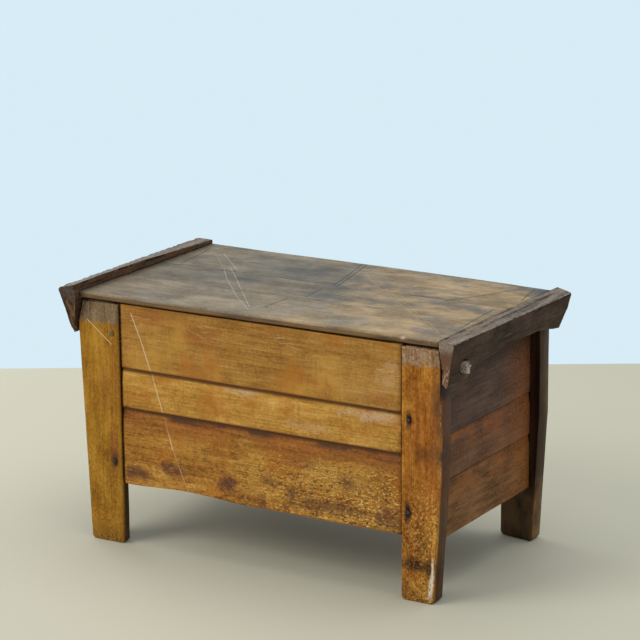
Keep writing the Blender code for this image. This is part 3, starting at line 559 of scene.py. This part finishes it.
def add_scratches(wood):
    """The long bright scratch that runs down the front, and groups of fine ones on the top board."""
    on_face = wood.between(wood.y, BOARD_FACE + 0.010, BOARD_FACE + 0.006)
    points = (
        (-0.276, 0.466), (-0.254, 0.414), (-0.236, 0.364),
        (-0.2095, 0.286), (-0.1865, 0.208), (-0.152, 0.127),
    )
    faded = wood.between(wood.cloud, 0.36, 0.56, 0.55, 0.95)
    for (start_x, start_z), (end_x, end_z) in zip(points, points[1:]):
        line = wood.stroke((start_x, None, start_z), (end_x, None, end_z), 0.0032)
        colour = PALE_SCRATCH if start_z > FRONT_JOINTS["bottom"] else PINK_SCRATCH
        wood.mark(colour, line, on_face, faded)
    draw = random.Random(7)
    for x, z, count in ((-0.111, 0.452, 6), (-0.251, 0.460, 4), (0.065, 0.455, 5), (0.275, 0.425, 5)):
        for _ in range(count):
            start_x = x + draw.uniform(-0.035, 0.020)
            start_z = z + draw.uniform(-0.012, 0.012)
            end_x = start_x + draw.uniform(0.012, 0.030)
            end_z = start_z + draw.uniform(-0.008, 0.008)
            line = wood.stroke((start_x, None, start_z), (end_x, None, end_z), 0.0022)
            wood.mark(PALE_SCRATCH, line, on_face, 0.30)


def long_board_wood(wall, tier, seed, palette):
    """Varnished board of the front or the rear wall, with bare wood inside."""
    wood = Wood(f"{wall}_{tier}_board", "X", seed, *palette)
    wood.mark(ORANGE_BROWN, wood.between(wood.noise(11.0, 4.0, 0.65, offset=wood.seed * 2), 0.47, 0.64), 0.75)
    wood.mark(HONEY, wood.between(wood.noise(9.0, 4.0, 0.65, offset=wood.seed * 4), 0.50, 0.68), 0.55)
    runs = wood.noise(60.0, 2.0, stretch=(3.0, 1.0, 0.4), offset=wood.seed)
    wood.mark((0.17, 0.072, 0.018), wood.between(runs, 0.54, 0.70), 0.22)
    low_down = wood.between(wood.z, 0.36, 0.15, 0.08, 1.0)
    rightward = wood.between(wood.x, -0.35, 0.30, 0.45, 1.0)
    wood.pits(560.0, 0.54, 0.70, low_down, rightward)
    wood.pits(230.0, 0.56, 0.85, low_down, rightward)
    scuffs = wood.between(wood.grain(0.45, 330.0, 2.0, 0.5), 0.57, 0.67)
    wood.mark((0.66, 0.43, 0.14), scuffs, low_down, wood.between(wood.x, -0.20, 0.25, 0.1, 0.95))
    if wall == "front":
        add_front_marks(wood)
        add_scratches(wood)
    else:
        wood.mark(wood.stained(*BARE_WOOD), wood.between(wood.cloud, 0.36, 0.60, 0.3, 0.8))
    if tier == "bottom":
        joint = FRONT_JOINTS[tier]
        below = wood.between(wood.z, joint - 0.060, joint - 0.015)
        wood.mark(wood.stained(*RED_BROWN), below, wood.between(wood.cloud, 0.26, 0.50), 0.92)
        # A darker band a little below the joint.
        darker_below_joint = wood.between(wood.cloud, 0.47, 0.58)
        wood.mark((0.050, 0.028, 0.018), wood.between(wood.z, joint - 0.020, joint - 0.009), darker_below_joint, 0.8)
    if tier in FRONT_JOINTS:
        joint = FRONT_JOINTS[tier]
        # Dark line at the joint, partly painted shadow under the lip of the board above.
        wood.mark((0.075, 0.027, 0.006), wood.between(wood.z, joint - 0.010, joint - 0.004), 0.9)
    # Painted highlight on the lower front arris.
    wood.mark((0.44, 0.190, 0.035), wood.arris(), wood.towards("Y", -1), 0.4)
    # Painted shade on the board's rounded lower edge.
    lower_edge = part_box(f"{wall}_{tier}_board")[0].z
    wood.mark((0.16, 0.055, 0.012), wood.between(wood.z, lower_edge + 0.004, lower_edge + 0.001), 0.6)
    # Painted shade in the gaps between the board's ends and the posts.
    wood.mark(SOOT_AND_SHADE, wood.between(wood.x, -0.2972, -0.3000), wood.between(wood.crumb, 0.34, 0.50, 0.6, 1.0))
    wood.mark(SOOT_AND_SHADE, wood.between(wood.x, 0.3110, 0.3140), 0.6)
    wood.bare_inside(wood.y, abs(BOARD_FACE))
    return wood


def add_long_walls():
    palettes = {
        "top": ((0.178, 0.071, 0.010), (0.338, 0.160, 0.029), (0.475, 0.260, 0.070)),
        "middle": ((0.240, 0.100, 0.012), (0.440, 0.220, 0.035), (0.62, 0.355, 0.090)),
        "bottom": ((0.145, 0.048, 0.006), (0.365, 0.156, 0.021), (0.60, 0.330, 0.068)),
    }
    for seed, (tier, palette) in enumerate(palettes.items()):
        for wall, apart in (("front", 5.5), ("rear", 9.5)):
            wood = long_board_wood(wall, tier, seed + apart, palette)
            worked(
                f"{wall}_{tier}_board", "chest", wood.done(dull=0.55, bright=0.36, sheen=0.15),
                spacing=(0.012, None, 0.009), depth=0.0012, lengths=(0.16, 0.05, 0.035), seed=seed + apart,
            )


def end_board_wood(wall, tier, seed, palette):
    """Darker board of the right or the left wall, with a painted highlight on the thinned upper edge and
    painted shade under the cleat.
    """
    node = f"{wall}_{tier}_board"
    wood = Wood(node, "Y", seed, *palette)
    joint = SIDE_JOINTS[tier]
    redness = 1.0 if wall == "right" else 0.4
    if tier != "top":
        # Painted highlight on the thinned upper edge, which faces up under the board above.
        painted_bevel_highlight = wood.between(wood.z, joint - 0.060, joint - 0.014)
        wood.mark((0.31, 0.092, 0.020), painted_bevel_highlight, wood.between(wood.cloud, 0.38, 0.62, 0.0, 0.65), redness)
    # Dark line along the joint, partly painted shadow from the board or lid above.
    wood.mark(SOOT_AND_SHADE, wood.between(wood.z, joint - 0.005, joint - 0.001), 0.85)
    rearward = wood.between(wood.y, 0.02, 0.17)
    wood.mark((0.31, 0.100, 0.022), rearward, wood.between(wood.crumb, 0.38, 0.62, 0.05, 0.7), redness)
    # Painted shade under the cleat, over the upper part of the board.
    shade_under_cleat = wood.between(wood.z, 0.375, 0.430)
    wood.mark((0.026, 0.017, 0.013), shade_under_cleat, 0.75)
    face = max(abs(corner.x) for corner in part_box(node))
    wood.bare_inside(wood.x, face)
    return wood


def add_end_walls():
    palettes = {
        "top": ((0.044, 0.025, 0.019), (0.088, 0.051, 0.039), (0.145, 0.080, 0.054)),
        "middle": ((0.062, 0.027, 0.015), (0.128, 0.059, 0.032), (0.22, 0.102, 0.048)),
        "bottom": ((0.070, 0.028, 0.010), (0.165, 0.076, 0.029), (0.29, 0.142, 0.052)),
    }
    for seed, (tier, palette) in enumerate(palettes.items()):
        for wall, apart in (("right", 13.5), ("left", 17.5)):
            wood = end_board_wood(wall, tier, seed + apart, palette)
            worked(
                f"{wall}_{tier}_board", "chest", wood.done(dull=0.58, bright=0.42, sheen=0.06),
                spacing=(None, 0.012, 0.009), depth=0.0011, lengths=(0.05, 0.15, 0.035), seed=seed + apart,
            )


def add_floor_boards():
    palette = ((0.09, 0.058, 0.034), (0.20, 0.138, 0.085), (0.30, 0.225, 0.145))
    for seed, where in enumerate(("front", "middle", "rear")):
        node = f"floor_{where}_board"
        wood = Wood(node, "X", seed + 21.5, *palette)
        wood.pits(300.0, 0.58, 0.6)
        worked(
            node, "chest", wood.done(dull=0.85, bright=0.70, sheen=0.3),
            spacing=(0.030, 0.020, None), depth=0.0009, lengths=(0.16, 0.04, 0.05), seed=seed + 21.5,
        )


def lid_lines():
    """The traditional scribed lines, in plan: diagonals in both halves, the middle and the right border."""

    def behind_front(*points):
        placed = [(x, FRONT + y) for x, y in points]
        return list(zip(placed, placed[1:]))

    pale = behind_front((-0.239, 0.277), (-0.202, 0.225), (-0.096, 0.100), (-0.029, 0.032))
    pale += behind_front((-0.314, 0.391), (-0.210, 0.281))
    pale += behind_front((-0.241, 0.300), (-0.206, 0.259), (-0.035, 0.047))
    faint = behind_front((-0.329, 0.383), (-0.239, 0.277))
    faint += behind_front((0.034, 0.368), (0.113, 0.284), (0.197, 0.208), (0.300, 0.107), (0.367, 0.042))
    faint += behind_front((0.121, 0.289), (0.227, 0.192), (0.329, 0.092), (0.383, 0.031))
    dark = behind_front((-0.013, 0.451), (0.028, 0.260))
    dark += behind_front((-0.022, 0.446), (0.018, 0.266))
    dark += behind_front((0.010, 0.238), (0.018, 0.164))
    dark += behind_front((-0.008, 0.138), (-0.011, 0.059))
    dark += behind_front((0.261, 0.266), (0.293, 0.317), (0.344, 0.413))
    dark += behind_front((0.367, 0.432), (0.386, 0.336))
    dark += behind_front((0.371, 0.252), (0.381, 0.100))
    dark += behind_front((-0.362, 0.408), (-0.343, 0.280))
    return pale, faint, dark


def crosses(line, node):
    """Whether any of a line lies over a board's own depth."""
    low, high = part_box(node)
    depths = [point[1] for point in line]
    return max(depths) > low.y and min(depths) < high.y


def lid_board_wood(node, seed, palette):
    """Weathered lid board: rubbed grey, stained dark in the middle, golden to the right, brown-edged."""
    wood = Wood(node, "X", seed, *palette, Wood.MOTTLED)
    stain = wood.noise(16.0, 5.0, 0.65, (0.7, 1.0, 1.0), wood.seed * 2)
    leftward = wood.between(wood.x, 0.30, 0.0, 0.22, 0.45)
    wood.mark((0.038, 0.030, 0.024), wood.between(stain, 0.50, 0.68), leftward)
    golden = wood.noise(14.0, 5.0, 0.65, (0.7, 1.0, 1.0), wood.seed * 3)
    rightward = wood.between(wood.x, -0.1, 0.25, 0.25, 0.80)
    mottled = wood.add(wood.times(wood.weathered, 0.35), wood.times(wood.cloud, 0.65))
    gilded = wood.ramp(mottled, (0.40, (0.185, 0.108, 0.038)), (0.60, (0.43, 0.272, 0.104)))
    wood.mark(gilded, wood.between(golden, 0.31, 0.62), rightward)
    stains = (
        ((0.044, 0.190), (0.17, 0.040), 0.75), ((-0.211, 0.234), (0.14, 0.060), 0.6),
        ((-0.130, 0.340), (0.24, 0.100), 0.7), ((0.030, 0.270), (0.09, 0.040), 0.8),
    )
    for (x, y), radii, strength in stains:
        wood.patch((x, FRONT + y, LID_TOP), (*radii, None), (0.034, 0.031, 0.031), strength)
    wood.mark((0.030, 0.031, 0.035), wood.blot((0.386, FRONT + 0.418, LID_TOP), (0.026, 0.060, None)), 0.9)
    by_left_cleat = wood.between(wood.x, -0.350, -0.382)
    wood.mark((0.045, 0.034, 0.026), by_left_cleat, wood.between(wood.crumb, 0.36, 0.56), 0.8)
    on_top = wood.between(wood.z, LID_TOP - 0.006, LID_TOP - 0.003)
    broken = wood.between(wood.crumb, 0.36, 0.56, 0.3, 0.9)
    pale, faint, dark = lid_lines()
    inks = (
        (pale, (0.44, 0.37, 0.28), 0.0028, 0.55),
        (faint, (0.34, 0.28, 0.20), 0.0028, 0.35),
        (dark, (0.016, 0.012, 0.010), 0.0046, 1.0),
    )
    for lines, colour, width, strength in inks:
        for start, end in lines:
            if crosses((start, end), node):
                wood.mark(colour, wood.stroke((*start, None), (*end, None), width), on_top, broken, strength)
    edge = wood.between(wood.z, LID_TOP - 0.002, LID_TOP - 0.006)
    rubbed = wood.ramp(wood.figure, (0.38, (0.060, 0.029, 0.012)), (0.60, (0.20, 0.106, 0.040)))
    wood.mark(rubbed, edge, wood.between(wood.x, -0.38, -0.20, 0.75, 0.9))
    wood.bare(wood.towards("Z", -1))
    wood.mark(BARE_CHIP, wood.blot((LID_CHIP, FRONT, LID_TOP - 0.002), (0.007, 0.006, 0.005)), 0.7)
    return wood


def add_lid_boards():
    palettes = {
        "front": ((0.074, 0.054, 0.035), (0.142, 0.107, 0.069), (0.220, 0.171, 0.114)),
        "middle": ((0.044, 0.035, 0.026), (0.096, 0.074, 0.050), (0.160, 0.127, 0.084)),
        "rear": ((0.048, 0.038, 0.027), (0.112, 0.086, 0.056), (0.190, 0.148, 0.092)),
    }
    lines = sum(lid_lines(), [])
    for seed, (where, palette) in enumerate(palettes.items()):
        node = f"lid_{where}_board"
        wood = lid_board_wood(node, seed + 25.5, palette)
        grooves = [(*line, GROOVE_WIDTH, GROOVE_DEPTH) for line in lines if crosses(line, node)]
        chip = ((LID_CHIP, FRONT, LID_TOP), (0.010, 0.008, 0.008), 0.003)
        worked(
            node, "lid", wood.done(dull=0.60, bright=0.42, sheen=0.28),
            spacing=(0.008, 0.008, None), depth=0.0011, lengths=(0.15, 0.045, 0.05), seed=seed + 25.5,
            dents=(chip,), lines=grooves,
        )


def cleat_wood(node, seed):
    """Nearly black cleat with a weathered top and a paler sawn near end."""
    wood = Wood(node, "Y", seed, (0.022, 0.012, 0.007), (0.056, 0.031, 0.019), (0.106, 0.060, 0.036))
    ashen = wood.stained((0.058, 0.045, 0.036), (0.235, 0.192, 0.152))
    wood.mark(ashen, wood.towards("Z"), 0.9)
    near_end = wood.towards("Y", -1)
    if node == "left_cleat":
        russet = wood.stained((0.020, 0.011, 0.007), (0.165, 0.084, 0.044))
        above_lid = wood.between(wood.z, LID_TOP - 0.004, LID_TOP)
        wood.mark(russet, wood.towards("X"), above_lid, wood.between(wood.y, 0.20, -0.05, 0.55, 0.95))
        upright = wood.noise(130.0, 4.0, 0.6, (1.0, 1.0, 0.22), wood.seed)
        layers = ((0.38, (0.020, 0.011, 0.007)), (0.50, (0.085, 0.043, 0.022)), (0.62, (0.200, 0.100, 0.048)))
        layered = wood.ramp(upright, *layers)
        wood.mark(layered, near_end, 0.9)
        greyed = wood.stained((0.034, 0.028, 0.025), (0.100, 0.088, 0.076))
        wood.mark(greyed, near_end, wood.between(wood.z, LID_TOP - 0.022, LID_TOP - 0.004), 0.8)
    else:
        brown = wood.between(wood.y, 0.05, FRONT, 0.0, 0.5)
        wood.mark((0.170, 0.098, 0.052), wood.towards("Z"), wood.between(wood.cloud, 0.36, 0.60), brown)
        saw_marks = wood.between(wood.noise(520.0, 2.0, 0.6, (1.0, 0.2, 0.35)), 0.47, 0.58)
        wood.mark((0.140, 0.068, 0.036), near_end, 0.9)
        low_down = wood.between(wood.z, 0.462, 0.440)
        wood.mark((0.330, 0.205, 0.140), near_end, saw_marks, low_down, 0.9)
        high_up = wood.between(wood.z, LID_TOP - 0.028, LID_TOP - 0.010)
        wood.mark((0.250, 0.205, 0.158), near_end, high_up, wood.between(wood.crumb, 0.36, 0.50, 0.1, 0.9))
    wood.mark((0.32, 0.150, 0.070), wood.arris(), wood.between(wood.weathered, 0.47, 0.58, 0.0, 0.8))
    return wood


def nicks(node, count, seed):
    """Small bites out of a cleat's upper outer edge, at uneven places."""
    draw = random.Random(seed)
    low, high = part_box(node)
    outer = low.x if node == "left_cleat" else high.x
    bites = []
    for i in range(count):
        along = low.y + (high.y - low.y) * (i + draw.random()) / count
        size = 0.004 + 0.007 * draw.random()
        bites.append(((outer, along, LID_TOP), (0.014, size, 0.014), 0.0012 + 0.002 * draw.random()))
    return bites


def add_cleats():
    for seed, node in enumerate(("left_cleat", "right_cleat")):
        wood = cleat_wood(node, seed + 31.5)
        outward, cut_depth = (-1.0, 0.0035) if node == "left_cleat" else (1.0, 0.0018)
        corners = [((outward, 0.6 * end, 0.7), cut_depth) for end in (-1, 1)]
        worked(
            node, "lid", wood.done(dull=0.75, bright=0.55, sheen=0.12, depth=0.0018),
            spacing=(0.006, 0.005, 0.007), depth=0.0018, lengths=(0.02, 0.035, 0.02), seed=seed + 31.5,
            dents=nicks(node, 26, seed), corners=corners,
        )


def add_pegs():
    bodies = {
        "left_hinge_pin": "chest",
        "right_hinge_pin": "chest",
        "left_keeper_peg": "left_peg",
        "right_keeper_peg": "right_peg",
    }
    palette = ((0.10, 0.078, 0.060), (0.34, 0.285, 0.230), (0.62, 0.56, 0.47))
    for seed, (node, body) in enumerate(bodies.items()):
        wood = Wood(node, "X", seed + 35.5, *palette)
        wood.pits(500.0, 0.52, 0.85)
        low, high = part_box(node)
        battered = max(low, high, key=lambda corner: abs(corner.x)).x
        middle = (low + high) / 2
        bites = (
            ((battered, middle.y + 0.006, middle.z + 0.006), (0.009, 0.006, 0.005), 0.0035),
            ((battered, middle.y + 0.009, middle.z - 0.004), (0.007, 0.005, 0.006), 0.0030),
            ((battered, middle.y - 0.009, middle.z + 0.009), (0.012, 0.007, 0.006), 0.0025),
        )
        worked(
            node, body, wood.done(dull=0.88, bright=0.72, sheen=0.3, depth=0.001),
            spacing=(0.003, 0.003, 0.003), depth=0.0014, lengths=(0.012, 0.008, 0.008), seed=seed + 35.5,
            dents=bites,
        )


def nail_iron(name, dark, body, bright, metallic):
    """Hammered iron: dark with brown rust, and bright where it has been knocked."""
    iron = Paint(name)
    rust = iron.noise(420.0, 4.0, 0.65)
    colour = iron.ramp(rust, (0.40, dark), (0.54, body), (0.68, bright))
    iron.shader.inputs["Metallic"].default_value = metallic
    roughness = iron.between(rust, 0.38, 0.65, 0.50, 0.85)
    return iron.finish(colour, roughness, rust, depth=0.0006, sheen=0.4)


def add_nails():
    plain = nail_iron(
        "nail_iron", dark=(0.020, 0.019, 0.020), body=(0.055, 0.040, 0.032), bright=(0.15, 0.15, 0.16),
        metallic=0.7,
    )
    varnished = nail_iron(
        "varnished_iron", dark=(0.075, 0.050, 0.030), body=(0.155, 0.110, 0.070), bright=(0.25, 0.22, 0.19),
        metallic=0.1,
    )
    for name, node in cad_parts.items():
        if name.endswith("_nail"):
            node.data.materials.clear()
            node.data.materials.append(varnished if name == "front_left_upper_nail" else plain)


def add_stage():
    """A plain pale floor, square to the camera, that ends where the photograph's floor does."""
    corners = [(-FLOOR_HALF_WIDTH, -FLOOR_AHEAD, 0.0), (FLOOR_HALF_WIDTH, -FLOOR_AHEAD, 0.0)]
    corners += [(FLOOR_HALF_WIDTH, FLOOR_BEHIND, 0.0), (-FLOOR_HALF_WIDTH, FLOOR_BEHIND, 0.0)]
    mesh = bpy.data.meshes.new("floor")
    mesh.from_pydata(corners, [], [(0, 1, 2, 3)])
    floor = bpy.data.objects.new("floor", mesh)
    floor.rotation_euler.z = CAMERA_AZIMUTH
    bpy.context.scene.collection.objects.link(floor)
    paint = Paint("floor")
    paint.shader.inputs["Base Color"].default_value = FLOOR_COLOUR
    paint.shader.inputs["Roughness"].default_value = FLOOR_ROUGHNESS
    mesh.materials.append(paint.material)


def add_lamp(name, place, target, size, watts, colour):
    """A square, soft lamp."""
    data = bpy.data.lights.new(name, "AREA")
    data.size = size
    data.energy = watts
    data.color = colour
    lamp = bpy.data.objects.new(name, data)
    lamp.location = place
    lamp.rotation_euler = (Vector(target) - Vector(place)).to_track_quat("-Z", "Y").to_euler()
    bpy.context.scene.collection.objects.link(lamp)


def add_world():
    """A pale backdrop for the camera and for reflections, over a plain, dimmer light from all round."""
    world = bpy.data.worlds.new("studio")
    world.use_nodes = True
    nodes = world.node_tree.nodes
    links = world.node_tree.links
    backdrop = nodes["Background"]
    backdrop.inputs["Color"].default_value = BACKDROP_COLOUR
    ambient = nodes.new("ShaderNodeBackground")
    ambient.inputs["Color"].default_value = AMBIENT_COLOUR
    ambient.inputs["Strength"].default_value = AMBIENT_STRENGTH
    path = nodes.new("ShaderNodeLightPath")
    reflected = nodes.new("ShaderNodeMath")
    reflected.operation = "MAXIMUM"
    links.new(path.outputs["Is Glossy Ray"], reflected.inputs[0])
    links.new(path.outputs["Is Transmission Ray"], reflected.inputs[1])
    seen = nodes.new("ShaderNodeMath")
    seen.operation = "MAXIMUM"
    links.new(path.outputs["Is Camera Ray"], seen.inputs[0])
    links.new(reflected.outputs[0], seen.inputs[1])
    choose = nodes.new("ShaderNodeMixShader")
    links.new(seen.outputs[0], choose.inputs[0])
    links.new(ambient.outputs[0], choose.inputs[1])
    links.new(backdrop.outputs[0], choose.inputs[2])
    links.new(choose.outputs[0], nodes["World Output"].inputs["Surface"])
    bpy.context.scene.world = world


def add_camera():
    azimuth, elevation = CAMERA_AZIMUTH, CAMERA_ELEVATION
    level = Vector((math.sin(azimuth), -math.cos(azimuth), 0.0))
    back = level * math.cos(elevation) + Vector((0.0, 0.0, math.sin(elevation)))
    right = Vector((math.cos(azimuth), math.sin(azimuth), 0.0))
    up = back.cross(right)
    rolled_right = right * math.cos(CAMERA_ROLL) + up * math.sin(CAMERA_ROLL)
    rolled_up = up * math.cos(CAMERA_ROLL) - right * math.sin(CAMERA_ROLL)
    data = bpy.data.cameras.new("camera")
    data.lens = CAMERA_LENS
    data.sensor_width = CAMERA_SENSOR
    camera = bpy.data.objects.new("camera", data)
    turn = Matrix((rolled_right, rolled_up, back)).transposed().to_4x4()
    camera.matrix_world = Matrix.Translation(CAMERA_PLACE) @ turn
    bpy.context.scene.collection.objects.link(camera)
    bpy.context.scene.camera = camera


bpy.context.scene.view_settings.view_transform = "Standard"
add_camera()
add_world()
add_lamp("key", (-3.3, -4.2, 3.9), target=(0.0, 0.0, 0.25), size=3.3, watts=200.0, colour=(1.0, 0.97, 0.92))
add_lamp("top", (0.2, 0.4, 3.0), target=(0.0, 0.0, 0.3), size=2.5, watts=40.0, colour=(0.95, 0.98, 1.0))
add_lamp("fill", (-3.0, 1.2, 0.9), target=(0.0, 0.0, 0.1), size=1.6, watts=25.0, colour=(1.0, 1.0, 1.0))
add_stage()
add_posts()
add_long_walls()
add_end_walls()
add_floor_boards()
add_lid_boards()
add_cleats()
add_pegs()
add_nails()
